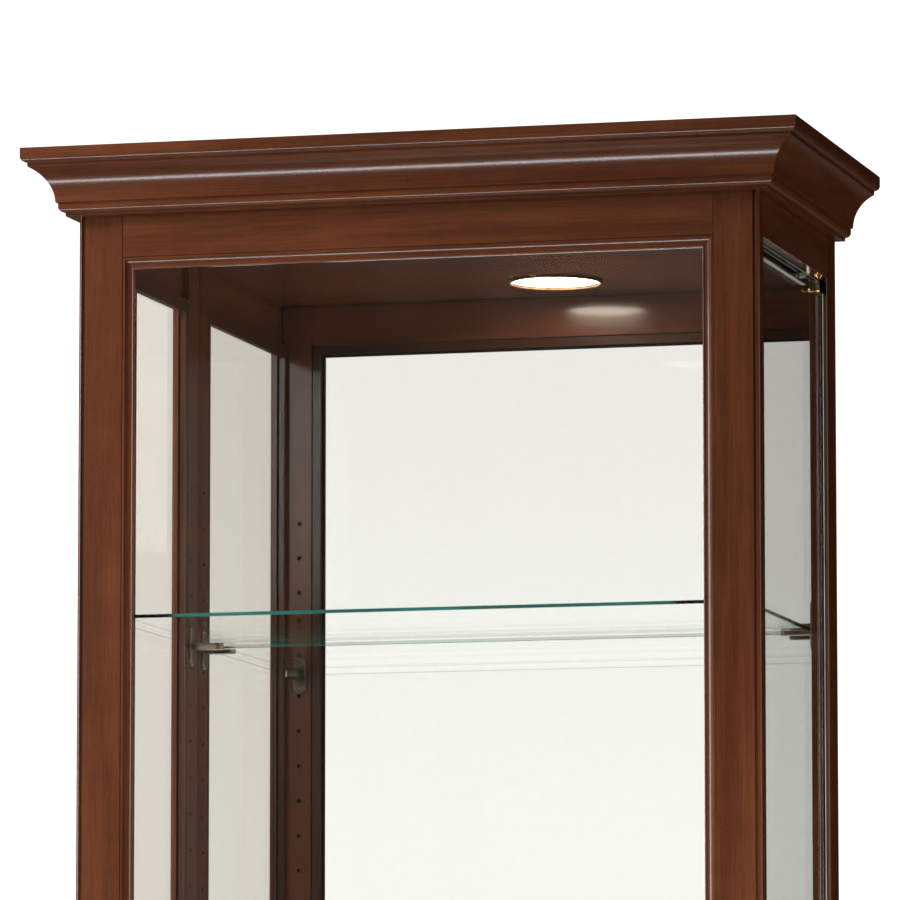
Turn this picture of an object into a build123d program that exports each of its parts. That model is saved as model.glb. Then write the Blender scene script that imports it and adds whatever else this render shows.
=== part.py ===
"""Lighted side-entry curio cabinet: glass front, frameless glass door on the right, mirror back.

Millimetres. The origin is the middle of the overall bounding box, at floor level.
+X is to the viewer's right, -Y is the front and +Z is up.
"""

from build123d import *
import os

os.makedirs("parts", exist_ok=True)

# ---------------------------------------------------------------- driving dimensions

overall_height = 2036.0
body_width = 940.0
body_depth = 484.0

crown_projection = 64.0
crown_height = 88.0

stile_width = 62.0
stile_depth = 27.0
moulding_width = 16.0
moulding_depth = 10.0
front_opening_top = 1875.0
front_opening_bottom = 190.0

rear_post_width = 25.0
rear_post_depth = 54.0
corner_bead = 4.0

side_rail_thickness = 16.0
side_opening_top = 1890.0
side_opening_bottom = 176.0

ceiling_underside = 1950.0
ceiling_thickness = 12.0
deck_top = 160.0
deck_thickness = 18.0
top_panel_thickness = 18.0
top_panel_below_crown = 6.0
frame_bottom = 30.0
rear_rail_thickness = 18.0

mirror_depth_from_front = 476.0
mirror_thickness = 4.0
back_panel_thickness = 2.5
mirror_rabbet = 9.0

glass_thickness = 4.0
door_thickness = 5.0
door_setback = 4.0
door_gap = 9.0
door_front_edge = 33.0
door_rear_edge = 424.0
pivot_from_front = 408.0
pivot_pin_radius = 3.0
pivot_clearance = 0.05

shelf_thickness = 6.0
shelf_half_width = 440.0
shelf_front_edge = 32.0
shelf_rear_edge = 470.0
hole_pitch = 50.8
hole_count = 25
top_hole_height = 1628.3
hole_radius = 3.2
hole_depth = 12.0
hole_above_shelf = 17.5
shelf_hole_numbers = {"upper": 4, "middle": 13, "lower": 21}
front_hole_x = 426.0
rear_hole_from_front = 446.0

lamp_from_front = 182.0
lamp_trim_radius = 68.0
lamp_lens_radius = 65.5
lamp_can_height = 48.0

base_projection = 18.0
base_bottom = 12.0
base_top = 130.0
base_moulding_height = 22.0

foot_radius = 18.0
foot_height = 8.0
foot_stud_radius = 4.0
foot_from_side = 55.0
foot_from_front = 57.0
block_size = 60.0
foot_block_overlap = 1.0

latch_height = 985.0
running_gap = 0.3

board_arris = 0.8
glass_arris = 0.4
joint_gap = 0.01

# ---------------------------------------------------------------- derived positions

half_width = body_width / 2
front_y = -(body_depth + crown_projection) / 2 + crown_projection
back_y = front_y + body_depth
frame_top = overall_height - top_panel_below_crown - top_panel_thickness
stile_inner_x = half_width - stile_width
sight_x = stile_inner_x - moulding_width
stile_back_y = front_y + stile_depth
rear_post_x = half_width - rear_post_width
rear_post_y = back_y - rear_post_depth
side_rail_x = half_width - side_rail_thickness
mirror_y = front_y + mirror_depth_from_front
back_panel_y = mirror_y + mirror_thickness
door_outer_x = half_width - door_setback
door_inner_x = door_outer_x - door_thickness
door_bottom = side_opening_bottom + door_gap
door_top = side_opening_top - door_gap
pivot_x = (door_outer_x + door_inner_x) / 2
pivot_y = front_y + pivot_from_front
hole_heights = [top_hole_height - hole_pitch * number for number in range(hole_count)]
shelf_middles = {
    name: hole_heights[number] - hole_above_shelf for name, number in shelf_hole_numbers.items()
}
lamp_y = front_y + lamp_from_front
foot_x = half_width - foot_from_side
foot_front_y = front_y + foot_from_front
foot_back_y = back_y - rear_post_depth / 2 - block_size / 2 + foot_block_overlap
sides = {"left": -1, "right": 1}
door_side = sides["right"]
fixed_side = sides["left"]

# ---------------------------------------------------------------- helpers


def save(piece, label):
    """Label a finished piece and write it to its own file."""
    piece.part.label = label
    export_step(piece.part, f"parts/{label}.step")


def span(side, near, far):
    """X limits of something between two distances from the middle, on one side."""
    return sorted((side * near, side * far))


def block(x, y, z):
    """Add a box between low and high limits on each axis to the part being built."""
    centre = tuple((low + high) / 2 for low, high in (x, y, z))
    with Locations(centre):
        Box(x[1] - x[0], y[1] - y[0], z[1] - z[0])


def board(label, x, y, z, arris=board_arris):
    """A plain board with its sharp edges eased."""
    with BuildPart() as piece:
        block(x, y, z)
        if arris:
            chamfer(piece.edges(), arris)
    save(piece, label)


def quirk_bead(side, corner_x, corner_y):
    """Draw a beaded front corner, from its quirk round to its side, and return its two ends."""
    r = corner_bead
    diagonal = r * (1 - 0.5 ** 0.5)
    quirk_start = (side * (corner_x - 2.2 * r), corner_y)
    quirk_deep = (side * (corner_x - 2 * r), corner_y + 0.6 * r)
    crest = (side * (corner_x - r), corner_y)
    bend = (side * (corner_x - diagonal), corner_y + diagonal)
    end = (side * corner_x, corner_y + r)
    Line(quirk_start, quirk_deep)
    RadiusArc(quirk_deep, crest, side * 1.15 * r)
    ThreePointArc(crest, bend, end)
    return quirk_start, end


# ---------------------------------------------------------------- front stiles


def front_stile(name, side):
    """Full-height stile: beaded outer corner, clip holes in its rear face."""
    with BuildPart() as stile:
        with BuildSketch(Plane.XY.offset(frame_bottom)):
            with BuildLine():
                quirk_start, bead_end = quirk_bead(side, half_width, front_y)
                back_outer = (side * half_width, stile_back_y)
                back_inner = (side * stile_inner_x, stile_back_y)
                front_inner = (side * stile_inner_x, front_y + board_arris)
                eased = (side * (stile_inner_x + board_arris), front_y)
                Polyline(bead_end, back_outer, back_inner, front_inner, eased, quirk_start)
            make_face()
        extrude(amount=frame_top - frame_bottom)
        with Locations(*[
            Plane((side * front_hole_x, stile_back_y, height), z_dir=(0, 1, 0))
            for height in hole_heights
        ]):
            Hole(hole_radius, hole_depth)
    save(stile, f"front_stile_{name}")


for side_name, sign in sides.items():
    front_stile(side_name, sign)

# ---------------------------------------------------------------- rear posts


def rear_post(name, side):
    """Full-height post: beaded front corner, rabbet for the mirror, clip holes inside."""
    with BuildPart() as post:
        with BuildSketch(Plane.XY.offset(frame_bottom)):
            with BuildLine():
                quirk_start, bead_end = quirk_bead(side, half_width, rear_post_y)
                rabbet_x = rear_post_x + mirror_rabbet
                Polyline(
                    bead_end,
                    (side * half_width, back_y),
                    (side * rabbet_x, back_y),
                    (side * rabbet_x, mirror_y),
                    (side * rear_post_x, mirror_y),
                    (side * rear_post_x, rear_post_y),
                    quirk_start,
                )
            make_face()
        extrude(amount=frame_top - frame_bottom)
        hole_y = front_y + rear_hole_from_front
        with Locations(*[
            Plane((side * rear_post_x, hole_y, height), z_dir=(-side, 0, 0))
            for height in hole_heights
        ]):
            Hole(hole_radius, hole_depth)
    save(post, f"rear_post_{name}")


for side_name, sign in sides.items():
    rear_post(side_name, sign)

# ---------------------------------------------------------------- rails

rail_x = (-stile_inner_x, stile_inner_x)
front_y_span = (front_y, stile_back_y)
front_rail_spans = {
    "front_top_rail": (front_opening_top + moulding_width, frame_top),
    "front_bottom_rail": (frame_bottom, front_opening_bottom - moulding_width),
}
for rail_name, rail_z in front_rail_spans.items():
    board(rail_name, rail_x, front_y_span, rail_z)

rear_rail_x = (-rear_post_x, rear_post_x)
rear_rail_y = (mirror_y - rear_rail_thickness, mirror_y)
ceiling_top = ceiling_underside + ceiling_thickness
deck_bottom = deck_top - deck_thickness
board("rear_top_rail", rear_rail_x, rear_rail_y, (ceiling_top, frame_top))
board("rear_bottom_rail", rear_rail_x, rear_rail_y, (frame_bottom, deck_bottom))

bush_radius = 4.5
bush_depth = 12.0


def side_rail(label, side, z, bush_face, bush_direction):
    """Side rail. On the door's side its inner edge is drilled for a pivot bush."""
    with BuildPart() as rail:
        block(span(side, side_rail_x, half_width), (stile_back_y, rear_post_y), z)
        chamfer(rail.edges().filter_by(Axis.Y), board_arris)
        if side == door_side:
            with Locations(Plane((side * pivot_x, pivot_y, bush_face), z_dir=(0, 0, bush_direction))):
                Hole(bush_radius, bush_depth)
    save(rail, label)


for side_name, sign in sides.items():
    top_span = (side_opening_top, frame_top)
    bottom_span = (frame_bottom, side_opening_bottom)
    side_rail(f"side_top_rail_{side_name}", sign, top_span, side_opening_top, -1)
    side_rail(f"side_bottom_rail_{side_name}", sign, bottom_span, side_opening_bottom, 1)

# ---------------------------------------------------------------- front glass, moulding and retainers

mitre_gap = 0.05
opening_middle = (front_opening_top + front_opening_bottom) / 2
opening_height = front_opening_top - front_opening_bottom


def moulding_profile():
    """Section of the glass moulding: x across it from the sight edge, y back from its face."""
    w = moulding_width
    with BuildSketch() as section:
        with BuildLine():
            Line((0, moulding_depth), (0, 6.2))
            ThreePointArc((0, 6.2), (1.2, 4.0), (3.6, 4.2))
            ThreePointArc((3.6, 4.2), (9.0, 3.0), (w - 3.2, 0))
            Polyline((w - 3.2, 0), (w - 1.0, 0), (w, 1.0), (w, moulding_depth), (0, moulding_depth))
        make_face()
    return section.sketch


def moulding_length(direction, sight_distance, half_length):
    """One mitred length. direction is the outward direction from the opening's middle."""
    across = Vector(*direction)
    along = Vector(0, -1, 0).cross(across)
    sight_middle = Vector(0, front_y, opening_middle) + across * sight_distance
    half_blank = half_length + moulding_width
    section = Plane(sight_middle - along * half_blank, x_dir=across, z_dir=along)
    with BuildPart() as length:
        with BuildSketch(section):
            add(moulding_profile())
        extrude(amount=2 * half_blank)
        for end in (-1, 1):
            corner = sight_middle + along * (end * (half_length - mitre_gap))
            split(bisect_by=Plane(corner, z_dir=along * end - across), keep=Keep.BOTTOM)
    return length.part


half_height = opening_height / 2
with BuildPart() as glass_moulding:
    for outward in ((1, 0, 0), (-1, 0, 0)):
        add(moulding_length(outward, sight_x, half_height))
    for outward in ((0, 0, 1), (0, 0, -1)):
        add(moulding_length(outward, half_height, sight_x))
save(glass_moulding, "front_glass_moulding")

glass_edge_gap = 1.0
glass_half_x = stile_inner_x - glass_edge_gap
glass_z = (
    front_opening_bottom - moulding_width + glass_edge_gap,
    front_opening_top + moulding_width - glass_edge_gap,
)
glass_y = front_y + moulding_depth
glass_x = (-glass_half_x, glass_half_x)
board("front_glass", glass_x, (glass_y, glass_y + glass_thickness), glass_z, glass_arris)

retainer_width = 12.0
retainer_depth = 10.0
retainer_y = (glass_y + glass_thickness, glass_y + glass_thickness + retainer_depth)
with BuildPart() as retainers:
    retainer_z = (glass_z[0] + retainer_width, glass_z[1] - retainer_width)
    for sign in (-1, 1):
        block(span(sign, glass_half_x - retainer_width, glass_half_x), retainer_y, retainer_z)
    block(glass_x, retainer_y, (retainer_z[1] + joint_gap, glass_z[1]))
    block(glass_x, retainer_y, (glass_z[0], retainer_z[0] - joint_gap))
save(retainers, "front_glass_retainers")

# ---------------------------------------------------------------- door stops and bumpers

strip_thickness = 9.0
strip_overlap = 3.0
strip_hang = 17.0
strip_x = side_rail_x - strip_thickness
stop_rear_edge = 372.0
strip_spans = (
    (side_opening_top - strip_hang, side_opening_top + strip_overlap),
    (side_opening_bottom - strip_overlap, side_opening_bottom + strip_hang),
)
with BuildPart() as door_stops:
    for stop_z in strip_spans:
        stop_y = (stile_back_y, front_y + stop_rear_edge)
        block(span(door_side, strip_x, side_rail_x), stop_y, stop_z)
    chamfer(door_stops.edges().filter_by(Axis.Y), board_arris)
save(door_stops, "door_stop_strips")

bumper_radius = 4.0
bumper_taper = 8
bumper_inset = 10.0
bumper_length = door_inner_x - side_rail_x - running_gap
bumper_distances = (60.0, 330.0)
with BuildPart() as bumpers:
    for height in (side_opening_top - bumper_inset, side_opening_bottom + bumper_inset):
        for distance in bumper_distances:
            seat = Plane((door_side * side_rail_x, front_y + distance, height), z_dir=(door_side, 0, 0))
            with BuildSketch(seat):
                Circle(bumper_radius)
            extrude(amount=bumper_length, taper=bumper_taper)
save(bumpers, "door_bumpers")

# ---------------------------------------------------------------- fixed side glass, its strips and beads

upright_strip_depth = 14.0
pane_edge_gap = 1.0
bead_size = 8.0
pane_outer_x = side_rail_x + glass_thickness
pane_y = (stile_back_y + pane_edge_gap, rear_post_y - pane_edge_gap)
pane_z = (side_opening_bottom + pane_edge_gap, side_opening_top - pane_edge_gap)
pane_x = span(fixed_side, side_rail_x, pane_outer_x)
board("side_glass_left", pane_x, pane_y, pane_z, glass_arris)


def border(label, x, y, z, depth, height):
    """Four square-cut lengths round an opening: two across it and two upright between them."""
    with BuildPart() as lengths:
        for low in (z[0], z[1] - height):
            block(x, y, (low, low + height))
        for low in (y[0], y[1] - depth):
            block(x, (low, low + depth), (z[0] + height + joint_gap, z[1] - height - joint_gap))
        chamfer(lengths.edges().filter_by(Axis.Y) + lengths.edges().filter_by(Axis.Z), board_arris)
    save(lengths, label)


inner_strip_x = span(fixed_side, strip_x, side_rail_x)
inner_strip_z = (strip_spans[1][0], strip_spans[0][1])
inner_strip_height = strip_hang + strip_overlap
opening_y = (stile_back_y, rear_post_y)
border(
    "side_glass_strips_left", inner_strip_x, opening_y, inner_strip_z,
    upright_strip_depth, inner_strip_height,
)
bead_x = span(fixed_side, pane_outer_x, pane_outer_x + bead_size)
bead_z = (side_opening_bottom, side_opening_top)
border("side_glass_beads_left", bead_x, opening_y, bead_z, bead_size, bead_size)

# ---------------------------------------------------------------- deck, ceiling, top panel


def notched_panel(label, z, opening_radius=0):
    """Panel between the side rails, notched round the rear posts, with an optional lamp hole."""
    with BuildPart() as panel:
        with BuildSketch(Plane.XY.offset(z[0])):
            with BuildLine():
                half = [
                    (side_rail_x, stile_back_y),
                    (side_rail_x, rear_post_y),
                    (rear_post_x, rear_post_y),
                    (rear_post_x, mirror_y),
                ]
                mirrored = [(-x, y) for x, y in reversed(half)]
                Polyline(*half, *mirrored, close=True)
            make_face()
            if opening_radius:
                with Locations((0, lamp_y)):
                    Circle(opening_radius, mode=Mode.SUBTRACT)
        extrude(amount=z[1] - z[0])
    save(panel, label)


lamp_can_radius = lamp_lens_radius + 1.0
notched_panel("floor_deck", (deck_bottom, deck_top))
notched_panel("ceiling_panel", (ceiling_underside, ceiling_top), lamp_can_radius)

grommet_y = back_y - 70.0
grommet_hole_radius = 8.0
grommet_bore_radius = 5.0
grommet_flange_radius = 11.0
grommet_flange_height = 2.0
top_panel_z = (frame_top, frame_top + top_panel_thickness)
with BuildPart() as top_panel:
    block((-half_width, half_width), (front_y, back_y), top_panel_z)
    chamfer(top_panel.edges().group_by(Axis.Z)[-1], board_arris)
    with Locations((0, grommet_y, top_panel_z[1])):
        Hole(grommet_hole_radius)
save(top_panel, "top_panel")

with BuildPart() as grommet:
    grommet_steps = (
        (top_panel_z[0], grommet_hole_radius, top_panel_thickness),
        (top_panel_z[1], grommet_flange_radius, grommet_flange_height),
    )
    for step_bottom, step_radius, step_height in grommet_steps:
        with BuildSketch(Plane.XY.offset(step_bottom)):
            with Locations((0, grommet_y)):
                Circle(step_radius)
                Circle(grommet_bore_radius, mode=Mode.SUBTRACT)
        extrude(amount=step_height)
    chamfer(grommet.edges().group_by(Axis.Z)[-1], 0.8)
save(grommet, "cable_grommet")

# ---------------------------------------------------------------- crown


def crown_profile():
    """Crown section: x out from the body, y up, with y = 0 at the top of the crown."""
    reach = crown_projection
    with BuildSketch() as section:
        with BuildLine():
            Polyline((0, -crown_height), (0, 0), (reach, 0), (reach, -12.5))
            ThreePointArc((reach, -12.5), (reach - 2.1, -17.3), (reach - 6.9, -19.4))
            Polyline(
                (reach - 6.9, -19.4),
                (reach - 8.0, -19.9),
                (reach - 8.0, -24.3),
                (reach - 8.9, -25.3),
            )
            ThreePointArc((reach - 8.9, -25.3), (reach - 29.0, -42.0), (reach - 38.2, -69.5))
            Polyline(
                (reach - 38.2, -69.5),
                (reach - 38.4, -70.4),
                (reach - 41.2, -70.9),
                (reach - 41.2, -76.5),
            )
            ThreePointArc((reach - 41.2, -76.5), (reach - 43.3, -81.2), (reach - 48.0, -83.2))
            Polyline(
                (reach - 48.0, -83.2),
                (reach - 49.4, -83.7),
                (reach - 49.4, -crown_height),
                (0, -crown_height),
            )
        make_face()
    return section.sketch


def base_profile():
    """Base moulding section: x out from the body, y up, with y = 0 on the plinth boards."""
    reach = base_projection - 2.0
    top = base_moulding_height
    with BuildSketch() as section:
        with BuildLine():
            Polyline((0, top), (0, 0), (reach, 0), (reach, 5))
            ThreePointArc((reach, 5), (reach - 1.0, 7.2), (reach - 3.2, 8.2))
            ThreePointArc((reach - 3.2, 8.2), (5.6, 11.6), (3.2, top - 2.5))
            Polyline((3.2, top - 2.5), (2.4, top), (0, top))
        make_face()
    return section.sketch


def front_run(label, profile, height, reach):
    """A moulding across the front, mitred at both corners."""
    start = Plane((half_width + reach, front_y, height), x_dir=(0, -1, 0), z_dir=(-1, 0, 0))
    with BuildPart() as run:
        with BuildSketch(start):
            add(profile())
        extrude(amount=body_width + 2 * reach)
        for sign in sides.values():
            mitre = Plane((sign * half_width, front_y, height), z_dir=(sign, 1, 0))
            split(bisect_by=mitre, keep=Keep.BOTTOM)
    save(run, label)


def side_run(label, profile, height, reach, side):
    """A moulding along one side, mitred at the front and cut square at the back."""
    start = Plane((side * half_width, back_y, height), x_dir=(side, 0, 0), z_dir=(0, -side, 0))
    length = body_depth + reach
    with BuildPart() as run:
        with BuildSketch(start):
            add(profile())
        extrude(amount=side * length)
        mitre = Plane((side * half_width, front_y, height), z_dir=(-side, -1, 0))
        split(bisect_by=mitre, keep=Keep.BOTTOM)
    save(run, label)


front_run("crown_front", crown_profile, overall_height, crown_projection)
front_run("base_moulding_front", base_profile, base_top, base_projection)
for side_name, sign in sides.items():
    side_run(f"crown_{side_name}", crown_profile, overall_height, crown_projection, sign)
    side_run(f"base_moulding_{side_name}", base_profile, base_top, base_projection, sign)

# ---------------------------------------------------------------- plinth boards


def plinth_profile():
    """Plinth board section: x out from the body, y up from the bottom edge."""
    height = base_top - base_bottom
    reach = base_projection
    with BuildSketch() as section:
        with BuildLine():
            eased_top = ((reach, height - 3), (reach - 3, height))
            Polyline((0, 0), (reach, 0), *eased_top, (0, height), close=True)
        make_face()
    return section.sketch


front_run("base_front", plinth_profile, base_bottom, base_projection)
for side_name, sign in sides.items():
    side_run(f"base_{side_name}", plinth_profile, base_bottom, base_projection, sign)

# ---------------------------------------------------------------- mirror, back panel and its screws

mirror_side_gap = 0.5
mirror_below_deck = 10.0
mirror_above_ceiling = 20.0
mirror_half_x = rear_post_x + mirror_rabbet - mirror_side_gap
mirror_x = (-mirror_half_x, mirror_half_x)
mirror_z = (deck_bottom - mirror_below_deck, ceiling_top + mirror_above_ceiling)
board("mirror_back", mirror_x, (mirror_y, back_panel_y), mirror_z, glass_arris)
back_face_y = back_panel_y + back_panel_thickness
board("back_panel", mirror_x, (back_panel_y, back_face_y), (frame_bottom, frame_top), 0)

screw_head_radius = 4.0
screw_head_height = 1.4
screw_head_taper = 25
screw_row_heights = (frame_bottom + 40.0, frame_top - 18.0)
screw_xs = range(-400, 401, 160)


with BuildPart() as back_screws:
    for screw_z in screw_row_heights:
        for screw_x in screw_xs:
            with BuildSketch(Plane((screw_x, back_face_y, screw_z), z_dir=(0, 1, 0))):
                Circle(screw_head_radius)
            extrude(amount=screw_head_height, taper=screw_head_taper)
save(back_screws, "back_panel_screws")

# ---------------------------------------------------------------- corner blocks, inserts, levelling feet

insert_radius = 6.0
insert_length = 16.0
insert_flange_radius = 12.0
insert_flange_thickness = 1.8
block_bottom = 14.0
block_top = 60.0
block_bore_radius = foot_stud_radius + 1.0
stud_top = 50.0
foot_centres = {
    "front_left": (-foot_x, foot_front_y),
    "front_right": (foot_x, foot_front_y),
    "rear_left": (-foot_x, foot_back_y),
    "rear_right": (foot_x, foot_back_y),
}

with BuildPart() as corner_blocks:
    for x, y in foot_centres.values():
        half_block = block_size / 2
        block_x = (x - half_block, x + half_block)
        block_y = (y - half_block, y + half_block)
        block(block_x, block_y, (block_bottom, block_top))
    with Locations(*[Plane((x, y, block_bottom), z_dir=(0, 0, -1)) for x, y in foot_centres.values()]):
        CounterBoreHole(block_bore_radius, insert_radius, insert_length)
save(corner_blocks, "corner_blocks")

with BuildPart() as inserts:
    with Locations(*[(x, y, block_bottom) for x, y in foot_centres.values()]):
        Cylinder(insert_radius, insert_length, align=(Align.CENTER, Align.CENTER, Align.MIN))
        Cylinder(
            insert_flange_radius,
            insert_flange_thickness,
            align=(Align.CENTER, Align.CENTER, Align.MAX),
        )
        Cylinder(foot_stud_radius + pivot_clearance, 3 * insert_length, mode=Mode.SUBTRACT)
save(inserts, "foot_inserts")

for foot_name, (x, y) in foot_centres.items():
    with BuildPart() as foot:
        with BuildSketch(Plane((x, y, 0), x_dir=(1, 0, 0), z_dir=(0, -1, 0))) as foot_section:
            with BuildLine():
                Polyline((0, 0), (foot_radius - 1.5, 0), (foot_radius, 1.5), (foot_radius, 4.0))
                Polyline(
                    (foot_radius, 4.0),
                    (foot_radius - 4.0, foot_height),
                    (foot_stud_radius, foot_height),
                    (foot_stud_radius, stud_top - 1.0),
                    (foot_stud_radius - 1.0, stud_top),
                    (0, stud_top),
                    (0, 0),
                )
            make_face()
        revolve(axis=Axis((x, y, 0), (0, 0, 1)))
    save(foot, f"levelling_foot_{foot_name}")

# ---------------------------------------------------------------- shelves and clips

glass_corner_radius = 3.0
shelf_arris = 0.8

for shelf_name, middle in shelf_middles.items():
    with BuildPart() as shelf:
        with BuildSketch(Plane.XY.offset(middle - shelf_thickness / 2)):
            middle_y = front_y + (shelf_front_edge + shelf_rear_edge) / 2
            with Locations((0, middle_y)):
                shelf_depth = shelf_rear_edge - shelf_front_edge
                RectangleRounded(2 * shelf_half_width, shelf_depth, glass_corner_radius)
        extrude(amount=shelf_thickness)
        chamfer(shelf.edges().filter_by(Plane.XY), shelf_arris)
    save(shelf, f"glass_shelf_{shelf_name}")

clip_plate_width = 20.0
clip_plate_thickness = 3.5
clip_plate_top = 40.0
clip_plate_bottom = -30.0
clip_reach = 47.0
clip_paddle_width = 18.0
clip_paddle_thickness = 4.5
clip_paddle_root = 1.5
clip_plate_rounding = 2.0
clip_peg_length = 10.0
clip_peg_clearance = 0.1


def make_clip():
    """Shelf clip: +X points away from the post, z = 0 is the middle of the glass."""
    with BuildPart() as clip:
        plate_middle = (clip_plate_top + clip_plate_bottom) / 2
        with BuildSketch(Plane((0, 0, plate_middle), x_dir=(0, 0, 1), z_dir=(1, 0, 0))):
            SlotOverall(clip_plate_top - clip_plate_bottom, clip_plate_width)
        extrude(amount=clip_plate_thickness)
        fillet(clip.edges().group_by(Axis.X)[-1], clip_plate_rounding)
        straight = clip_reach - clip_paddle_width / 2 - clip_paddle_root
        for low in (shelf_thickness / 2, -shelf_thickness / 2 - clip_paddle_thickness):
            with BuildSketch(Plane.XY.offset(low)):
                with Locations((clip_paddle_root + straight / 2, 0)):
                    Rectangle(straight, clip_paddle_width)
                with Locations((clip_paddle_root + straight, 0)):
                    Circle(clip_paddle_width / 2)
            extrude(amount=clip_paddle_thickness)
        with BuildSketch(Plane((0, 0, hole_above_shelf), z_dir=(-1, 0, 0))):
            Circle(hole_radius - clip_peg_clearance)
        extrude(amount=clip_peg_length)
    return clip.part


clip_shape = make_clip()
rear_hole_y = front_y + rear_hole_from_front
with BuildPart() as shelf_clips:
    for middle in shelf_middles.values():
        for sign in sides.values():
            add(clip_shape.moved(Location((sign * front_hole_x, stile_back_y, middle), (0, 0, 90))))
            turn = 90 + 90 * sign
            add(clip_shape.moved(Location((sign * rear_post_x, rear_hole_y, middle), (0, 0, turn))))
save(shelf_clips, "shelf_clips")

# ---------------------------------------------------------------- recessed lamp


def turned(label, points):
    """A turned piece on the lamp's axis, from its half section of (radius, height) points."""
    with BuildPart() as piece:
        with BuildSketch(Plane((0, lamp_y, 0), x_dir=(1, 0, 0), z_dir=(0, -1, 0))):
            with BuildLine():
                Polyline(*points, close=True)
            make_face()
        revolve(axis=Axis((0, lamp_y, 0), (0, 0, 1)))
    save(piece, label)


under = ceiling_underside
trim_drop = 4.0
trim_inner = lamp_lens_radius - 0.8
turned("lamp_trim_ring", [
    (trim_inner, under),
    (lamp_trim_radius, under),
    (lamp_trim_radius, under - trim_drop + 1.4),
    (lamp_trim_radius - 0.5, under - trim_drop + 0.4),
    (lamp_trim_radius - 1.4, under - trim_drop),
    (trim_inner + 0.6, under - trim_drop),
    (trim_inner, under - trim_drop + 0.8),
])
lens_thickness = 4.0
turned("lamp_lens", [
    (0, under),
    (lamp_lens_radius, under),
    (lamp_lens_radius, under + lens_thickness),
    (0, under + lens_thickness),
])
can_wall = 1.0
can_bottom = under + lens_thickness
can_top = can_bottom + lamp_can_height
can_roof = can_top - can_wall
can_shoulder = 18.0
can_top_radius = lamp_lens_radius - 16.0
turned("lamp_housing", [
    (lamp_lens_radius - can_wall, can_bottom),
    (lamp_lens_radius, can_bottom),
    (lamp_lens_radius, can_top - can_shoulder),
    (can_top_radius, can_top),
    (0, can_top),
    (0, can_roof),
    (can_top_radius - can_wall / 2, can_roof),
    (lamp_lens_radius - can_wall, can_roof - can_shoulder + can_wall / 2),
])
socket_height = 14.0
socket_radius = 12.0
bulb_top = can_roof - socket_height
turned("lamp_socket", [
    (0, can_roof),
    (socket_radius, can_roof),
    (socket_radius, bulb_top + 2.0),
    (socket_radius - 2.0, bulb_top),
    (0, bulb_top),
])
turned("lamp_bulb", [
    (0, bulb_top),
    (7.0, bulb_top),
    (10.0, bulb_top - 5.0),
    (12.0, bulb_top - 11.0),
    (11.0, bulb_top - 18.0),
    (7.5, bulb_top - 23.0),
    (0, bulb_top - 25.0),
])

# ---------------------------------------------------------------- door

door_arris = 0.7
door_y = (front_y + door_front_edge, front_y + door_rear_edge)
with BuildPart() as door:
    block(span(door_side, door_inner_x, door_outer_x), door_y, (door_bottom, door_top))
    fillet(door.edges().filter_by(Axis.X), glass_corner_radius)
    chamfer(door.edges().group_by(Axis.X)[0] + door.edges().group_by(Axis.X)[-1], door_arris)
save(door, "door_glass")

clamp_width = 43.0
clamp_past_glass = 4.0
clamp_y = (door_y[1] + clamp_past_glass - clamp_width, door_y[1] + clamp_past_glass)
clamp_height = 16.0
clamp_outer_leg = 3.0
clamp_inner_leg = 5.0
clamp_web = 2.5
web_overlap = 1.0
clamp_rounding = 2.0
pin_length = 19.0
collar_radius = 4.5
bush_flange = 1.5
bush_flange_radius = 6.0
bush_gap = door_gap - clamp_web - bush_flange
clamp_screw_distances = (395.0, 417.0)
clamp_screw_inset = 9.0
clamp_screw_radius = 4.5
clamp_screw_height = 5.0
clamp_screw_rounding = 1.5
socket_radius_in_screw = 1.6
socket_depth_in_screw = 2.0


def pivot_clamp(glass_edge, up):
    """U-shaped clamp over the glass edge with its pivot pin; up is +1 at the top of the door."""
    web = sorted((glass_edge, glass_edge + up * clamp_web))
    legs = sorted((glass_edge - up * clamp_height, glass_edge + up * clamp_web))
    with BuildPart() as clamp:
        outer = span(door_side, door_outer_x, door_outer_x + clamp_outer_leg)
        inner = span(door_side, door_inner_x - clamp_inner_leg, door_inner_x)
        between = span(door_side, door_inner_x - web_overlap, door_outer_x + web_overlap)
        block(outer, clamp_y, legs)
        block(inner, clamp_y, legs)
        block(between, clamp_y, web)
        block(between, (door_y[1], clamp_y[1]), legs)
        front_edges = clamp.edges().filter_by(Axis.X).group_by(Axis.Y)[0]
        fillet(front_edges.group_by(Axis.Z)[0 if up > 0 else -1], clamp_rounding)
        pin_root = (door_side * pivot_x, pivot_y, glass_edge + up * clamp_web)
        with BuildSketch(Plane(pin_root, z_dir=(0, 0, up))):
            Circle(pivot_pin_radius)
        extrude(amount=pin_length - clamp_web)
        if up < 0:
            with BuildSketch(Plane(pin_root, z_dir=(0, 0, up))):
                Circle(collar_radius)
            extrude(amount=bush_gap - running_gap)
    return clamp.part


def clamp_screw(distance, height):
    """Round-headed set screw with a hexagon socket, on the clamp's inner leg."""
    seat = Plane(
        (door_side * (door_inner_x - clamp_inner_leg), front_y + distance, height),
        z_dir=(-door_side, 0, 0),
    )
    with BuildPart() as screw:
        with BuildSketch(seat):
            Circle(clamp_screw_radius)
        extrude(amount=clamp_screw_height)
        fillet(screw.edges().sort_by(Axis.X)[0], clamp_screw_rounding)
        with BuildSketch(seat.offset(clamp_screw_height)):
            RegularPolygon(socket_radius_in_screw, 6)
        extrude(amount=-socket_depth_in_screw, mode=Mode.SUBTRACT)
    return screw.part


with BuildPart() as clamps:
    add(pivot_clamp(door_top, 1))
    add(pivot_clamp(door_bottom, -1))
save(clamps, "pivot_clamps")

with BuildPart() as clamp_screws:
    for height in (door_top - clamp_screw_inset, door_bottom + clamp_screw_inset):
        for distance in clamp_screw_distances:
            add(clamp_screw(distance, height))
save(clamp_screws, "clamp_screws")

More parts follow.
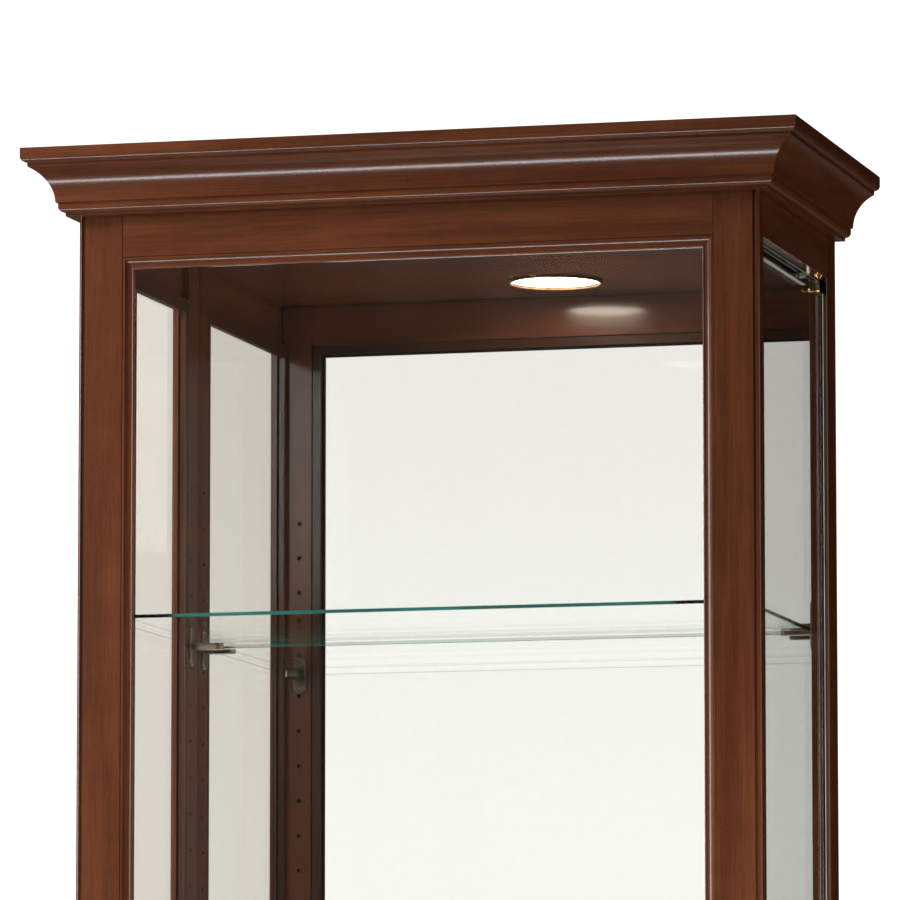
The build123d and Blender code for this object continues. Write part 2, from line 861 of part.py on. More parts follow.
with BuildPart() as bushes:
    for face, direction in ((side_opening_top, -1), (side_opening_bottom, 1)):
        seat = Plane((door_side * pivot_x, pivot_y, face), z_dir=(0, 0, direction))
        with BuildSketch(seat):
            Circle(bush_flange_radius)
            Circle(pivot_pin_radius + pivot_clearance, mode=Mode.SUBTRACT)
        extrude(amount=bush_flange)
        with BuildSketch(seat):
            Circle(bush_radius)
            Circle(pivot_pin_radius + pivot_clearance, mode=Mode.SUBTRACT)
        extrude(amount=-bush_depth)
save(bushes, "pivot_bushes")

# ---------------------------------------------------------------- touch latch

latch_half_height = 20.0
latch_body_x = (438.0, 456.0)
latch_body_depth = 20.0
latch_rounding = 1.5
latch_bore_depth = 14.0
plunger_radius = 4.0
plunger_tail = 7.0
plunger_rounding = 0.8
plunger_y = stile_back_y + latch_body_depth / 2
strike_wall = 1.2
strike_half_height = 15.0
strike_length = 26.0
plunger_face_x = door_inner_x - strike_wall - running_gap

with BuildPart() as latch_body:
    latch_y = (stile_back_y, stile_back_y + latch_body_depth)
    latch_z = (latch_height - latch_half_height, latch_height + latch_half_height)
    block(span(door_side, *latch_body_x), latch_y, latch_z)
    fillet(latch_body.edges().filter_by(Axis.Z), latch_rounding)
    bore_mouth = (door_side * latch_body_x[1], plunger_y, latch_height)
    with Locations(Plane(bore_mouth, z_dir=(door_side, 0, 0))):
        Hole(plunger_radius + running_gap, latch_bore_depth)
save(latch_body, "latch_body")

with BuildPart() as plunger:
    plunger_end = (door_side * (latch_body_x[1] - plunger_tail), plunger_y, latch_height)
    with BuildSketch(Plane(plunger_end, z_dir=(door_side, 0, 0))):
        Circle(plunger_radius)
    extrude(amount=plunger_face_x - latch_body_x[1] + plunger_tail)
    fillet(plunger.edges().sort_by(Axis.X)[-1], plunger_rounding)
save(plunger, "latch_plunger")

with BuildPart() as strike:
    strike_z = (latch_height - strike_half_height, latch_height + strike_half_height)
    edge_y = front_y + door_front_edge
    outside = span(door_side, door_inner_x - strike_wall, door_outer_x + strike_wall)
    block(outside, (edge_y - strike_wall, edge_y + strike_length), strike_z)
    with Locations((door_side * pivot_x, edge_y + strike_length / 2, latch_height)):
        Box(door_thickness, strike_length, 2 * strike_half_height, mode=Mode.SUBTRACT)
save(strike, "strike_plate")
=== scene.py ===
"""Looks of the lighted curio cabinet: lacquered cherry, clear glass, mirror back and brass fittings.

Metres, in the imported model's own frame: +Z up, -Y the glass front, +X the viewer's right.
"""

import math

import bmesh
import bpy
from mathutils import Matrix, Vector


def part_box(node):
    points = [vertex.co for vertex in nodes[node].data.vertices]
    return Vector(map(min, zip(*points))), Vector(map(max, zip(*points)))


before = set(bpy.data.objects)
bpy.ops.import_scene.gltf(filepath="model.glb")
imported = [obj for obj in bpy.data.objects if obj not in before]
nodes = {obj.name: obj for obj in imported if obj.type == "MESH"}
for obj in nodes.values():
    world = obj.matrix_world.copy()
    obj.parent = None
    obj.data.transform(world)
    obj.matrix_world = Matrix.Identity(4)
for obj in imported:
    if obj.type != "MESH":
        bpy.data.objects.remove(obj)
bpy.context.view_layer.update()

# ------------------------------------------------------------------ node helper


class Shader:
    """A material's node tree, with short calls for the nodes used here."""

    def __init__(self, name):
        self.material = bpy.data.materials.new(name)
        self.material.use_nodes = True
        self.tree = self.material.node_tree
        self.tree.nodes.clear()

    @classmethod
    def on(cls, tree):
        """The same calls on another node tree, such as the world's."""
        shader = cls.__new__(cls)
        shader.tree = tree
        tree.nodes.clear()
        return shader

    def node(self, kind, inputs=None, **settings):
        """Adds a node. inputs maps socket names or numbers to values or output sockets."""
        made = self.tree.nodes.new(kind)
        for setting, value in settings.items():
            setattr(made, setting, value)
        for key, value in (inputs or {}).items():
            socket = made.inputs[key]
            if isinstance(value, bpy.types.NodeSocket):
                self.tree.links.new(value, socket)
            else:
                socket.default_value = value
        return made

    def math(self, operation, *values, clamp=False):
        """One arithmetic step on numbers or outputs."""
        inputs = dict(enumerate(values))
        return self.node("ShaderNodeMath", inputs, operation=operation, use_clamp=clamp).outputs[0]

    def remap(self, value, low, high, to_low=0.0, to_high=1.0):
        """value between low and high, smoothly taken to between to_low and to_high."""
        inputs = {0: value, 1: low, 2: high, 3: to_low, 4: to_high}
        made = self.node("ShaderNodeMapRange", inputs, interpolation_type="SMOOTHSTEP")
        return made.outputs[0]

    def noise(self, vector, scale, detail=2.0, roughness=0.5, distortion=0.0):
        """Smooth noise between 0 and 1, with scale features to the metre."""
        inputs = {
            "Vector": vector,
            "Scale": scale,
            "Detail": detail,
            "Roughness": roughness,
            "Distortion": distortion,
        }
        return self.node("ShaderNodeTexNoise", inputs).outputs[0]

    def mix_colour(self, factor, a, b):
        """a where factor is 0 and b where it is 1."""
        made = self.node("ShaderNodeMix", data_type="RGBA")
        for index, value in ((0, factor), (6, a), (7, b)):
            if isinstance(value, bpy.types.NodeSocket):
                self.tree.links.new(value, made.inputs[index])
            elif index == 0:
                made.inputs[index].default_value = value
            else:
                made.inputs[index].default_value = (*value, 1.0)
        return made.outputs[2]

    def bump(self, height, depth, strength=1.0):
        inputs = {"Height": height, "Distance": depth, "Strength": strength}
        return self.node("ShaderNodeBump", inputs).outputs[0]

    def place(self):
        """Coordinates in the piece's own rest position, in metres."""
        return self.node("ShaderNodeTexCoord").outputs["Object"]

    def axes(self, vector):
        """The X, Y and Z outputs of a vector."""
        return self.node("ShaderNodeSeparateXYZ", {0: vector}).outputs

    def stretched(self, vector, scale):
        inputs = {"Vector": vector, "Scale": scale}
        return self.node("ShaderNodeMapping", inputs).outputs[0]

    def principled(self, **values):
        """A Principled shader. An underscore in a key stands for a space in the socket's name."""
        inputs = {key.replace("_", " "): value for key, value in values.items()}
        for key, value in inputs.items():
            if isinstance(value, tuple) and len(value) == 3 and "Normal" not in key:
                inputs[key] = (*value, 1.0)
        return self.node("ShaderNodeBsdfPrincipled", inputs).outputs[0]

    def finish(self, surface):
        self.node("ShaderNodeOutputMaterial", {"Surface": surface})
        return self.material


# ------------------------------------------------------------------ wood

GRAIN_ORDER = {"x": (1, 2, 0), "y": (0, 2, 1), "z": (0, 1, 2)}
GRAIN_SQUEEZE = 0.07
FIBRE_SQUEEZE = 0.018
PIECE_SHIFT = 7.0
WOOD_NOISE = {
    "figure": {"scale": 16.0, "detail": 3.0, "roughness": 0.55, "distortion": 0.9},
    "blotch": {"scale": 22.0, "detail": 3.0, "roughness": 0.6},
    "fibres": {"scale": 520.0, "detail": 3.0, "roughness": 0.6},
    "flecks": {"scale": 1500.0, "detail": 1.0, "roughness": 0.5},
    "mottle": {"scale": 420.0, "detail": 2.0, "roughness": 0.6},
}
FIGURE_SPAN = (0.32, 0.68)
BLOTCH_SHARE = 0.9
MOTTLE_SHARE = 1.1
STREAK_SPAN = (0.3, 0.7)
STREAK_STRENGTH = (0.84, 1.1)
PIECE_DARKEST = 0.92
PIECE_SPREAD = 0.16
PORE_SPAN = (0.66, 0.78)
PORE_STAIN = 0.45
# Painted shade in corners, quirks and joins: how far the occlusion looks, its span and its strength.
CORNER_REACH = 0.010
CORNER_SPAN = (0.25, 0.85)
CORNER_SHADE_STRENGTH = 0.75
MATT_ROUGHNESS = 0.42
LACQUER_SMOOTHING = 0.26
ROUGHNESS_SPREAD = 0.08
GRAIN_DEPTH = 0.00010
RIPPLE_DEPTH = 0.0004
RIPPLE_STRENGTH = 0.22
LACQUER_COAT = 0.35
# Each tone set: light and dark wood, and a darkest tone used both for the stain in the pores and for the
# painted shade in corners.
CHERRY = {
    "light": (0.150, 0.046, 0.0175),
    "dark": (0.098, 0.029, 0.0115),
    "stain_and_corner_shade": (0.014, 0.005, 0.003),
}
# Cherry tones painted darker for the retainers, strips and stops inside the cabinet: painted shade on the
# same wood.
SHADED_CHERRY = {
    "light": (0.085, 0.030, 0.013),
    "dark": (0.045, 0.017, 0.008),
    "stain_and_corner_shade": (0.012, 0.005, 0.003),
}
SECONDARY = {
    "light": (0.52, 0.36, 0.21),
    "dark": (0.38, 0.24, 0.13),
    "stain_and_corner_shade": (0.2, 0.12, 0.06),
}


def grain_vector(shader, place, axis):
    """place with its axes reordered, so that the last one runs along the grain."""
    parts = shader.axes(place)
    order = GRAIN_ORDER[axis]
    picked = {slot: parts[order[slot]] for slot in range(3)}
    return shader.node("ShaderNodeCombineXYZ", picked).outputs[0]


def frame_grain(shader, place, node, across):
    """Grain of a four-sided frame: upright lengths along z, the other two along across."""
    low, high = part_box(node)
    parts = shader.axes(place)
    beyond = []
    for axis in ("XYZ".index(across.upper()), 2):
        middle = (low[axis] + high[axis]) / 2
        reach = (high[axis] - low[axis]) / 2
        distance = shader.math("ABSOLUTE", shader.math("SUBTRACT", parts[axis], middle))
        beyond.append(shader.math("SUBTRACT", distance, reach))
    is_across = shader.math("GREATER_THAN", beyond[1], beyond[0])
    return shader.node(
        "ShaderNodeMix",
        {0: is_across, 4: grain_vector(shader, place, "z"), 5: grain_vector(shader, place, across)},
        data_type="VECTOR",
    ).outputs[1]


def wood(name, axis, tones, frame_node=None, gloss=1.0):
    """Stained wood: broad figure, fine fibres, pores, painted shade in the corners, a softly rippled
    lacquer.

    With frame_node, the grain turns at that node's corners and axis is the one of its cross lengths.
    gloss runs from 0, bare and matt, to 1, fully lacquered.
    """
    shader = Shader(name)
    place = shader.place()
    chance = shader.node("ShaderNodeObjectInfo").outputs["Random"]
    shift = shader.math("MULTIPLY", chance, PIECE_SHIFT)
    if frame_node:
        along = frame_grain(shader, place, frame_node, axis)
    else:
        along = grain_vector(shader, place, axis)
    along = shader.node("ShaderNodeVectorMath", {0: along, 1: shift}, operation="ADD").outputs[0]
    figure_place = shader.stretched(along, (1.0, 1.0, GRAIN_SQUEEZE))
    fibre_place = shader.stretched(along, (1.0, 1.0, FIBRE_SQUEEZE))

    figure = shader.noise(figure_place, **WOOD_NOISE["figure"])
    blotch = shader.noise(place, **WOOD_NOISE["blotch"])
    fibres = shader.noise(fibre_place, **WOOD_NOISE["fibres"])
    flecks = shader.noise(fibre_place, **WOOD_NOISE["flecks"])
    mottle = shader.noise(place, **WOOD_NOISE["mottle"])

    tone = shader.remap(figure, *FIGURE_SPAN)
    tone = shader.math("MULTIPLY_ADD", shader.math("SUBTRACT", blotch, 0.5), BLOTCH_SHARE, tone)
    off_middle = shader.math("SUBTRACT", mottle, 0.5)
    tone = shader.math("MULTIPLY_ADD", off_middle, MOTTLE_SHARE, tone, clamp=True)
    colour = shader.mix_colour(tone, tones["dark"], tones["light"])
    streak = shader.remap(fibres, *STREAK_SPAN, *STREAK_STRENGTH)
    piece_tone = shader.math("MULTIPLY_ADD", chance, PIECE_SPREAD, PIECE_DARKEST)
    strength = shader.math("MULTIPLY", streak, piece_tone)
    scaled = shader.node("ShaderNodeVectorMath", {0: colour, "Scale": strength}, operation="SCALE")
    pores = shader.remap(flecks, *PORE_SPAN)
    stain = shader.math("MULTIPLY", pores, PORE_STAIN)
    colour = shader.mix_colour(stain, scaled.outputs[0], tones["stain_and_corner_shade"])
    # Painted shade: ambient occlusion darkens corners, quirks and the joins between parts towards the
    # darkest tone.
    corner = shader.node("ShaderNodeAmbientOcclusion", {"Distance": CORNER_REACH}, samples=6)
    stain_and_corner_shade = shader.remap(corner.outputs["AO"], *CORNER_SPAN, CORNER_SHADE_STRENGTH, 0.0)
    colour = shader.mix_colour(stain_and_corner_shade, colour, tones["stain_and_corner_shade"])

    smoothest = MATT_ROUGHNESS - LACQUER_SMOOTHING * gloss
    rough = shader.math("MULTIPLY_ADD", mottle, ROUGHNESS_SPREAD, smoothest)
    height = shader.math("MULTIPLY_ADD", pores, -0.5, fibres)
    grain_normal = shader.bump(height, GRAIN_DEPTH, 0.30)
    ripple = {
        "Height": mottle,
        "Distance": RIPPLE_DEPTH,
        "Strength": RIPPLE_STRENGTH * gloss,
        "Normal": grain_normal,
    }
    normal = shader.node("ShaderNodeBump", ripple).outputs[0]
    surface = shader.principled(
        Base_Color=colour,
        Roughness=rough,
        Normal=normal,
        Specular_IOR_Level=0.34,
        Coat_Weight=LACQUER_COAT * gloss,
        Coat_Roughness=0.08,
        Coat_IOR=1.45,
    )
    return shader.finish(surface)


# ------------------------------------------------------------------ glass and mirror

SEEN_EDGE = 0.3
EDGE_FACING = (0.75, 0.55)
EDGE_LIGHTENING = 1.5
# Painted reflection of the dark posts: the shelf's cut edges fade to near black towards their ends.
REFLECTED_DARK_FADE = 0.012
REFLECTED_DARK_END = (0.003, 0.008, 0.007)
MIRROR_CLEAN = (0.93, 0.945, 0.93)
MIRROR_DUSTY = (0.915, 0.93, 0.915)


def pane(name, thin_axis, through, edge, painted_edge_glow, index, line_side=1, reflected_dark_from=None):
    """Clear glass: tinted see-through faces with a mirrored share, and coloured cut edges that glow as a
    painted highlight.

    An edge seen through the glass is a thin line along the face on line_side of the thin axis, as
    refraction leaves it. With reflected_dark_from, the edges darken beyond that distance from the middle:
    a painted reflection of the dark posts.
    """
    shader = Shader(name)
    parts = shader.axes(shader.node("ShaderNodeTexCoord").outputs["Normal"])
    facing = shader.math("ABSOLUTE", parts["XYZ".index(thin_axis)])
    is_edge = shader.remap(facing, *EDGE_FACING)
    clear = shader.node("ShaderNodeBsdfTransparent", {"Color": (*through, 1.0)}).outputs[0]
    gloss = shader.node("ShaderNodeBsdfGlossy", {"Color": (1, 1, 1, 1), "Roughness": 0.0}).outputs[0]
    entering = shader.node("ShaderNodeFresnel", {"IOR": index}).outputs[0]
    leaving = shader.node("ShaderNodeFresnel", {"IOR": 1 / index}).outputs[0]
    behind = shader.node("ShaderNodeNewGeometry").outputs["Backfacing"]
    sides = {0: behind, 2: entering, 3: leaving}
    share = shader.node("ShaderNodeMix", sides, data_type="FLOAT").outputs[0]
    face = shader.node("ShaderNodeMixShader", {0: share, 1: clear, 2: gloss}).outputs[0]
    place = shader.place()
    ripple = shader.noise(place, 9.0, 2.0, 0.5)
    lighter = tuple(c * EDGE_LIGHTENING for c in edge)
    tone = shader.mix_colour(shader.remap(ripple, 0.35, 0.65), edge, lighter)
    if reflected_dark_from:
        # Painted reflection of the dark posts: the cut edges turn near black towards the ends.
        across = shader.math("ABSOLUTE", shader.axes(place)["X"])
        dark = shader.remap(across, reflected_dark_from, reflected_dark_from + REFLECTED_DARK_FADE)
        tone = shader.mix_colour(dark, tone, REFLECTED_DARK_END)
    # The cut edges glow: a painted highlight.
    rim = shader.principled(
        Base_Color=tone,
        Roughness=0.12,
        Specular_IOR_Level=0.3,
        Emission_Color=tone,
        Emission_Strength=painted_edge_glow,
    )
    across_pane = shader.axes(shader.node("ShaderNodeTexCoord").outputs["Generated"])[thin_axis]
    if line_side > 0:
        off_line = shader.math("LESS_THAN", across_pane, 1.0 - SEEN_EDGE)
    else:
        off_line = shader.math("GREATER_THAN", across_pane, SEEN_EDGE)
    hidden = shader.math("MULTIPLY", behind, off_line)
    rim = shader.node("ShaderNodeMixShader", {0: hidden, 1: rim, 2: clear}).outputs[0]
    whole = shader.node("ShaderNodeMixShader", {0: is_edge, 1: face, 2: rim}).outputs[0]
    return shader.finish(whole)


def mirror():
    """Silvered glass with a faint green cast and the softest dust."""
    shader = Shader("silvered_mirror")
    dust = shader.noise(shader.place(), 60.0, 4.0, 0.6)
    colour = shader.mix_colour(shader.remap(dust, 0.3, 0.8), MIRROR_CLEAN, MIRROR_DUSTY)
    gloss = shader.node("ShaderNodeBsdfGlossy", {"Color": colour, "Roughness": 0.0}).outputs[0]
    return shader.finish(gloss)


# ------------------------------------------------------------------ metals, plastics, lamp


BRUSHING_SCALE = 900.0
BRUSHING_DEPTH = 0.00006
WORN_SPREAD = 0.14
SPARK_DEPTH = 0.00005
LAMP_GLOW = 22.0
LENS_RIM = (0.72, 0.97)
LENS_WARM = (1.0, 0.86, 0.68)
LENS_PALE = (1.0, 0.93, 0.80)
LENS_DIM = (0.10, 0.085, 0.07)


def metal(name, colour, worn, roughness):
    """Metal with fine brushing and small cloudy wear."""
    shader = Shader(name)
    place = shader.place()
    cloud = shader.noise(place, 120.0, 4.0, 0.6)
    scratch = shader.noise(shader.stretched(place, (1.0, 0.15, 1.0)), BRUSHING_SCALE, 2.0, 0.6)
    tone = shader.mix_colour(shader.remap(cloud, 0.35, 0.7), colour, worn)
    rough = shader.math("MULTIPLY_ADD", cloud, WORN_SPREAD, roughness - 0.06)
    normal = shader.bump(scratch, BRUSHING_DEPTH, 0.3)
    surface = shader.principled(Base_Color=tone, Metallic=1.0, Roughness=rough, Normal=normal)
    return shader.finish(surface)


def plastic(name, colour, roughness, grain=2600.0):
    """Moulded plastic with a fine spark texture."""
    shader = Shader(name)
    place = shader.place()
    spark = shader.noise(place, grain, 2.0, 0.6)
    cloud = shader.noise(place, 40.0, 2.0, 0.5)
    lighter = tuple(min(1.0, c * 1.25 + 0.004) for c in colour)
    tone = shader.mix_colour(cloud, colour, lighter)
    normal = shader.bump(spark, SPARK_DEPTH, 0.4)
    surface = shader.principled(Base_Color=tone, Roughness=roughness, Normal=normal)
    return shader.finish(surface)


def hardboard():
    """Brown pressed board with its fibre flecks."""
    shader = Shader("hardboard")
    place = shader.place()
    fibres = shader.noise(place, 700.0, 4.0, 0.7)
    cloud = shader.noise(place, 9.0, 3.0, 0.5)
    base = shader.mix_colour(shader.remap(cloud, 0.3, 0.7), (0.155, 0.083, 0.040), (0.20, 0.112, 0.056))
    tone = shader.mix_colour(shader.remap(fibres, 0.45, 0.75), base, (0.28, 0.17, 0.09))
    normal = shader.bump(fibres, 0.0002, 0.4)
    return shader.finish(shader.principled(Base_Color=tone, Roughness=0.7, Normal=normal))


def lit_lens():
    """Frosted lens of the lit lamp, brightest at its middle."""
    shader = Shader("lamp_lens_lit")
    place = shader.place()
    frost = shader.noise(place, 500.0, 2.0, 0.5)
    low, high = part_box("lamp_lens")
    middle = tuple((a + b) / 2 for a, b in zip(low, high))
    radius = (high[0] - low[0]) / 2
    apart = shader.node("ShaderNodeVectorMath", {0: place, 1: middle}, operation="DISTANCE")
    off_axis = apart.outputs["Value"]
    bright = shader.mix_colour(frost, LENS_WARM, LENS_PALE)
    rim = shader.remap(off_axis, *(share * radius for share in LENS_RIM))
    glow = shader.mix_colour(rim, bright, LENS_DIM)
    normal = shader.bump(frost, 0.0003, 0.3)
    surface = shader.principled(
        Base_Color=(0.9, 0.9, 0.88),
        Roughness=0.4,
        Normal=normal,
        Emission_Color=glow,
        Emission_Strength=LAMP_GLOW,
    )
    return shader.finish(surface)


def clear_rubber():
    """Soft clear bumper."""
    shader = Shader("clear_rubber")
    cloud = shader.noise(shader.place(), 300.0, 2.0, 0.5)
    tone = shader.mix_colour(cloud, (0.62, 0.64, 0.62), (0.74, 0.76, 0.74))
    surface = shader.principled(
        Base_Color=tone, Roughness=0.25, Subsurface_Weight=0.4, Subsurface_Scale=0.003
    )
    return shader.finish(surface)


# ------------------------------------------------------------------ finishes of the imported nodes

# Cut-edge colours, which also glow as a painted highlight: the dark one is the glass's own blue-green,
# the pale one that tint lightened as a painted highlight.
DARK_GLASS_EDGE = (0.02, 0.10, 0.085)
PALE_GLASS_EDGE = (0.30, 0.52, 0.56)
# Where the painted reflection of the dark posts begins on the shelf edges.
SHELF_REFLECTED_DARK_FROM = 0.34
# Refractive indices: below real glass's 1.5 where the photo's panes mirror less than it would.
FRONT_INDEX = 1.12
LEFT_INDEX = 1.36
SHELF_INDEX = 1.4
DOOR_INDEX = 1.5

finishes = {
    "cherry_x": wood("cherry_grain_x", "x", CHERRY),
    "cherry_level": wood("cherry_level", "x", CHERRY, gloss=0.45),
    "cherry_y": wood("cherry_grain_y", "y", CHERRY),
    "cherry_z": wood("cherry_grain_z", "z", CHERRY),
    "moulding": wood("cherry_moulding", "x", CHERRY, frame_node="front_glass_moulding"),
    # Painted shade: the pieces inside the cabinet take the darker cherry tones.
    "retainers": wood("cherry_retainers", "x", SHADED_CHERRY, frame_node="front_glass_retainers"),
    "strips": wood("cherry_strips", "y", SHADED_CHERRY, frame_node="side_glass_strips_left"),
    "stops": wood("cherry_stops", "y", SHADED_CHERRY),
    "beads": wood("cherry_beads", "y", CHERRY, frame_node="side_glass_beads_left"),
    "frame_x": wood("frame_wood_grain_x", "x", SECONDARY, gloss=0.0),
    "frame_z": wood("frame_wood_grain_z", "z", SECONDARY, gloss=0.0),
    "hardboard": hardboard(),
    "mirror": mirror(),
    "front_glass": pane(
        "front_glass_clear", "Y", (0.992, 0.996, 0.993), PALE_GLASS_EDGE, painted_edge_glow=0.1, index=FRONT_INDEX
    ),
    "side_glass": pane(
        "side_glass_clear", "X", (1.0, 0.985, 0.955), PALE_GLASS_EDGE, painted_edge_glow=0.1, index=LEFT_INDEX
    ),
    "door_glass": pane(
        "door_glass_clear", "X", (1.0, 1.0, 0.99), PALE_GLASS_EDGE, painted_edge_glow=0.25, index=DOOR_INDEX
    ),
    "shelf_glass": pane(
        "shelf_glass_clear",
        "Z",
        (0.996, 0.999, 0.996),
        DARK_GLASS_EDGE,
        painted_edge_glow=0.18,
        index=SHELF_INDEX,
        line_side=-1,
        reflected_dark_from=SHELF_REFLECTED_DARK_FROM,
    ),
    "bronze": metal("dark_bronze", (0.15, 0.115, 0.085), (0.24, 0.185, 0.14), 0.38),
    "brass": metal("polished_brass", (0.80, 0.56, 0.22), (0.62, 0.40, 0.14), 0.16),
    "lamp_trim": metal("lamp_trim_brass", (0.16, 0.10, 0.05), (0.09, 0.055, 0.03), 0.3),
    "steel": metal("zinc_steel", (0.62, 0.63, 0.62), (0.48, 0.49, 0.49), 0.35),
    "lamp_metal": metal("lamp_can_metal", (0.75, 0.75, 0.74), (0.6, 0.6, 0.59), 0.4),
    "ceramic": plastic("lamp_ceramic", (0.72, 0.70, 0.65), 0.35),
    "bulb": plastic("bulb_glass", (0.9, 0.88, 0.82), 0.2, grain=300.0),
    "lens": lit_lens(),
    "black_plastic": plastic("black_plastic", (0.018, 0.017, 0.016), 0.45),
    "brown_plastic": plastic("brown_plastic", (0.075, 0.038, 0.022), 0.4),
    "foot_plastic": plastic("foot_plastic", (0.03, 0.028, 0.026), 0.5),
    "rubber": clear_rubber(),
}

finish_of = {
    "cherry_x": [
        "front_top_rail", "front_bottom_rail", "crown_front", "base_front",
        "base_moulding_front", "ceiling_panel",
    ],
    "cherry_level": ["floor_deck", "top_panel"],
    "cherry_y": [
        f"{piece}_{side}"
        for piece in ("crown", "base", "base_moulding", "side_top_rail", "side_bottom_rail")
        for side in ("left", "right")
    ],
    "cherry_z": ["front_stile_left", "front_stile_right", "rear_post_left", "rear_post_right"],
    "moulding": ["front_glass_moulding"],
    "retainers": ["front_glass_retainers"],
    "strips": ["side_glass_strips_left"],
    "stops": ["door_stop_strips"],
    "beads": ["side_glass_beads_left"],
    "frame_x": ["rear_top_rail", "rear_bottom_rail"],
    "frame_z": ["corner_blocks"],
    "hardboard": ["back_panel"],
    "mirror": ["mirror_back"],
    "front_glass": ["front_glass"],
    "side_glass": ["side_glass_left"],
    "door_glass": ["door_glass"],
    "shelf_glass": ["glass_shelf_upper", "glass_shelf_middle", "glass_shelf_lower"],
    "bronze": ["shelf_clips"],
    "brass": ["pivot_clamps", "clamp_screws", "pivot_bushes", "strike_plate"],
    "lamp_trim": ["lamp_trim_ring"],
    "steel": ["back_panel_screws", "foot_inserts"],
    "lamp_metal": ["lamp_housing"],
    "ceramic": ["lamp_socket"],
    "bulb": ["lamp_bulb"],
    "lens": ["lamp_lens"],
    "black_plastic": ["cable_grommet"],
    "brown_plastic": ["latch_body", "latch_plunger"],
    "foot_plastic": [
        f"levelling_foot_{end}_{side}" for end in ("front", "rear") for side in ("left", "right")
    ],
    "rubber": ["door_bumpers"],
}

for finish_name, members in finish_of.items():
    for member in members:
        mesh = nodes[member].data
        mesh.materials.clear()
        mesh.materials.append(finishes[finish_name])

unfinished = set(nodes) - {member for members in finish_of.values() for member in members}
assert not unfinished, f"no finish for {sorted(unfinished)}"

# ------------------------------------------------------------------ floor, fading into the backdrop

FLOOR_SOLID = 1.7
FLOOR_END = 3.0


def faded_floor():
    """Pale floor that turns clear towards its rim."""
    shader = Shader("pale_floor")
    place = shader.place()
    grain = shader.noise(place, 3.0, 3.0, 0.5)
    tone = shader.mix_colour(grain, (0.80, 0.80, 0.79), (0.84, 0.84, 0.83))
    surface = shader.principled(Base_Color=tone, Roughness=0.6, Specular_IOR_Level=0.2)
    distance = shader.node("ShaderNodeVectorMath", {0: place}, operation="LENGTH").outputs["Value"]
    away = shader.remap(distance, FLOOR_SOLID, FLOOR_END)
    clear = shader.node("ShaderNodeBsdfTransparent").outputs[0]
    return shader.finish(shader.node("ShaderNodeMixShader", {0: away, 1: surface, 2: clear}).outputs[0])


floor_mesh = bpy.data.meshes.new("floor")
form = bmesh.new()
bmesh.ops.create_circle(form, cap_ends=True, radius=FLOOR_END, segments=96)
form.to_mesh(floor_mesh)
form.free()
floor = bpy.data.objects.new("floor", floor_mesh)
floor_mesh.materials.append(faded_floor())
bpy.context.scene.collection.objects.link(floor)
floor.visible_glossy = False

# ------------------------------------------------------------------ studio

# Chosen to match the photo: directions are shares of the world's unit vector, not measured lights.
BACKDROP = (1.25, 1.21, 1.15)
SEEN_THROUGH = (0.98, 0.94, 0.91)
PANE_CROSSINGS = 2.5
REFLECTED_LOW = (1.04, 1.02, 0.985)
REFLECTED_HIGH = (0.925, 0.890, 0.855)
REFLECTED_RISE = (0.06, 0.14)
FLAG_RIGHT = (0.0, 0.12)
FLAG_REAR = (-0.1, 0.2)
FLAG_SOFT_SHADE = 0.8
CARD_START = (0.02, 0.14)
CARD_END = (0.42, 0.60)
CARD_DARKNESS = 0.92
GLOSS_ROOM = 0.05
SOFT_ROOM = 0.13


def studio_world():
    """White backdrop, its softer image in mirror and panes, and a dim room with a black flag.

    Seen through more than one pane the backdrop is a little dimmer and warmer. The flag stands behind
    the cabinet on the right, so its right side stays dark. A narrow dark card to the front and the
    rear on the right keeps the panes clear of glare.
    """
    world = bpy.data.worlds.new("studio")
    world.use_nodes = True
    bpy.context.scene.world = world
    shader = Shader.on(world.node_tree)
    parts = shader.axes(shader.node("ShaderNodeTexCoord").outputs["Generated"])
    rightward = shader.remap(parts["X"], *FLAG_RIGHT)
    rearward = shader.remap(parts["Y"], *FLAG_REAR)
    flag = shader.math("MULTIPLY", rightward, rearward)
    open_side = shader.math("SUBTRACT", 1.0, flag)

    rise = shader.remap(parts["Z"], *REFLECTED_RISE)
    mirrored = shader.mix_colour(rise, REFLECTED_LOW, REFLECTED_HIGH)
    card_edge = shader.remap(parts["X"], *CARD_START)
    card_end = shader.remap(parts["X"], *CARD_END, 1.0, 0.0)
    card = shader.math("MULTIPLY", card_edge, card_end)
    shade = shader.math("MAXIMUM", flag, shader.math("MULTIPLY", card, CARD_DARKNESS))
    mirrored = shader.mix_colour(shade, mirrored, (0.0, 0.0, 0.0))
    gloss_room = shader.math("MULTIPLY", open_side, GLOSS_ROOM)
    soft_open = shader.math("MULTIPLY_ADD", flag, -FLAG_SOFT_SHADE, 1.0)
    soft_room = shader.math("MULTIPLY", soft_open, SOFT_ROOM)
    path = shader.node("ShaderNodeLightPath").outputs
    room = shader.node(
        "ShaderNodeMix", {0: path["Is Glossy Ray"], 2: soft_room, 3: gloss_room}, data_type="FLOAT"
    ).outputs[0]
    room_colour = shader.node("ShaderNodeCombineXYZ", {0: room, 1: room, 2: room}).outputs[0]
    unseen = shader.mix_colour(path["Is Singular Ray"], room_colour, mirrored)
    behind_panes = shader.math("GREATER_THAN", path["Transparent Depth"], PANE_CROSSINGS)
    seen = shader.mix_colour(behind_panes, BACKDROP, SEEN_THROUGH)
    colour = shader.mix_colour(path["Is Camera Ray"], unseen, seen)
    background = shader.node("ShaderNodeBackground", {"Color": colour}).outputs[0]
    shader.node("ShaderNodeOutputWorld", {"Surface": background})


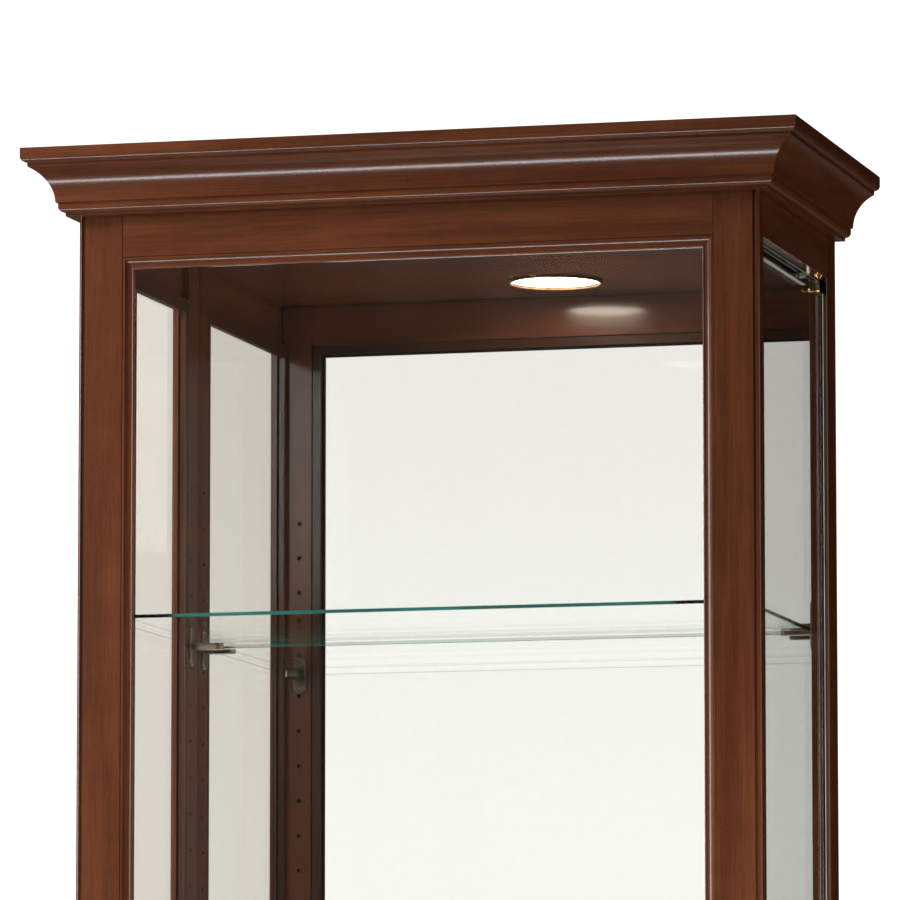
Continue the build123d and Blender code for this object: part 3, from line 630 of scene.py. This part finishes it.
def softbox(name, place, target, size, power, colour=(1.0, 1.0, 1.0), gloss_only=False):
    """A rectangular light at place, turned towards target, that the camera doesn't see."""
    lamp = bpy.data.lights.new(name, "AREA")
    lamp.shape = "RECTANGLE"
    lamp.size, lamp.size_y = size
    lamp.energy = power
    lamp.color = colour
    holder = bpy.data.objects.new(name, lamp)
    holder.location = place
    aim = Vector(target) - Vector(place)
    holder.rotation_euler = aim.to_track_quat("-Z", "Y").to_euler()
    holder.visible_camera = False
    holder.visible_diffuse = not gloss_only
    bpy.context.scene.collection.objects.link(holder)


studio_world()
softbox("key", (-1.6, -1.0, 3.0), (0.0, -0.2, 1.5), (1.0, 0.8), 56.0, (1.0, 0.98, 0.95))
softbox("left_fill", (-1.6, -1.2, 1.5), (-0.2, -0.2, 1.4), (0.9, 1.2), 24.0)
softbox("low_right_fill", (0.75, -0.85, 0.6), (0.45, -0.2, 0.9), (0.4, 0.4), 6.0)
softbox("right_fill", (2.0, -0.2, 1.5), (0.5, 0.0, 1.6), (0.8, 1.2), 6.0)
softbox("floor_strip", (-0.5, -1.38, 0.12), (-0.5, -1.0, 1.9), (3.0, 0.30), 34.0, gloss_only=True)
softbox("rear_fill", (-0.8, 3.4, 3.0), (0.0, 0.0, 1.2), (2.4, 2.4), 60.0)

# ------------------------------------------------------------------ camera

CAMERA_PLACE = (2.559, -9.6315, 0.445)
CAMERA_TURN = math.radians(14.92)
CAMERA_PITCH = math.radians(6.845)
CAMERA_LENS = 295.8
SENSOR_WIDTH = 36.0
FARTHEST_SEEN = 100.0

camera_data = bpy.data.cameras.new("camera")
camera_data.sensor_width = SENSOR_WIDTH
camera_data.lens = CAMERA_LENS
camera_data.clip_end = FARTHEST_SEEN
camera = bpy.data.objects.new("camera", camera_data)
camera.location = CAMERA_PLACE
look = Vector((
    -math.sin(CAMERA_TURN) * math.cos(CAMERA_PITCH),
    math.cos(CAMERA_TURN) * math.cos(CAMERA_PITCH),
    math.sin(CAMERA_PITCH),
))
camera.rotation_euler = look.to_track_quat("-Z", "Y").to_euler()
bpy.context.scene.collection.objects.link(camera)
bpy.context.scene.camera = camera

bpy.context.scene.view_settings.view_transform = "Standard"
